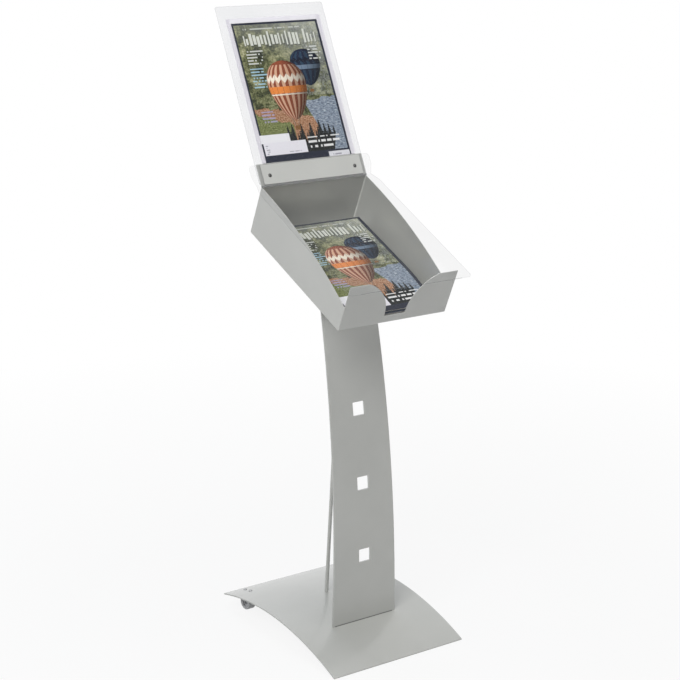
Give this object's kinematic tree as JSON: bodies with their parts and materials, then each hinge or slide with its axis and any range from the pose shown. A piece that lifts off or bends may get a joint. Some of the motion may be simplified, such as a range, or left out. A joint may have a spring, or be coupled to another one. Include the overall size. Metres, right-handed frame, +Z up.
{
  "type": "periodical display rack",
  "caption": "Free-standing magazine rack: bowed base on glides and castors, curved column with stay, sloping tray with hinged clear lid, and leaning clear poster pocket.",
  "frame": {"origin": "on the floor, under the middle of the rack's bounding box", "axes": "+Z up, +X to the reader's right, the reader stands on the -Y side and faces +Y"},
  "size_m": [0.324, 0.5012, 1.2893],
  "materials": {
    "silver_powder_coat": "satin silver-grey powder coat, fine texture",
    "bright_steel": "zinc plated, satin",
    "castor_steel": "dark grey, semi-gloss",
    "clear_sheet": "clear acrylic sheet, polished edges",
    "glide_rubber": "matt black rubber",
    "roller_plastic": "moulded grey nylon, slightly worn",
    "printed_card": "glossy printed card",
    "magazines": "glossy printed covers, pale page edges"
  },
  "bodies": {
    "stand": {"base_plate": "silver_powder_coat", "column_panel": "silver_powder_coat", "rear_stay_rod": "silver_powder_coat", "stay_lug": "silver_powder_coat", "head_plate": "silver_powder_coat", "tray_sheet": "silver_powder_coat", "tray_side_left": "silver_powder_coat", "tray_side_right": "silver_powder_coat", "foot_screws": "bright_steel", "foot_nuts": "bright_steel", "stay_nuts": "bright_steel", "tray_studs": "bright_steel", "tray_nuts": "bright_steel", "flange_screws": "bright_steel", "flange_nuts": "bright_steel", "castor_axle_left": "bright_steel", "castor_axle_right": "bright_steel", "castor_screws": "bright_steel", "castor_fork_left": "castor_steel", "castor_fork_right": "castor_steel", "poster_back_pane": "clear_sheet", "poster_front_pane": "clear_sheet", "pocket_spacers": "clear_sheet", "lid_band": "clear_sheet", "front_glides": "glide_rubber"},
    "lid": {"clear_lid": "clear_sheet"},
    "castor_wheel_left": {"castor_roller_left": "roller_plastic"},
    "castor_wheel_right": {"castor_roller_right": "roller_plastic"},
    "poster": {"poster_card": "printed_card"},
    "magazines": {"magazine_pile": "magazines"}
  },
  "joints": [
    {"name": "lid_hinge", "type": "hinge", "parent": "stand", "child": "lid", "pos_m": [0, 0.08024, 0.94696], "axis": [-1, 0, 0], "range_deg": [0, 125]},
    {"name": "wheel_left_spin", "type": "hinge", "parent": "stand", "child": "castor_wheel_left", "pos_m": [-0.119, 0.17244, 0.017], "axis": [1, 0, 0], "continuous": true},
    {"name": "wheel_right_spin", "type": "hinge", "parent": "stand", "child": "castor_wheel_right", "pos_m": [0.119, 0.17244, 0.017], "axis": [1, 0, 0], "continuous": true},
    {"name": "poster_slide", "type": "slide", "parent": "stand", "child": "poster", "axis": [0, 0.4346, 0.9006], "range_m": [0, 0.3]},
    {"name": "magazine_lift", "type": "slide", "parent": "stand", "child": "magazines", "axis": [0, -0.4088, 0.9126], "range_m": [0, 0.06]}
  ]
}
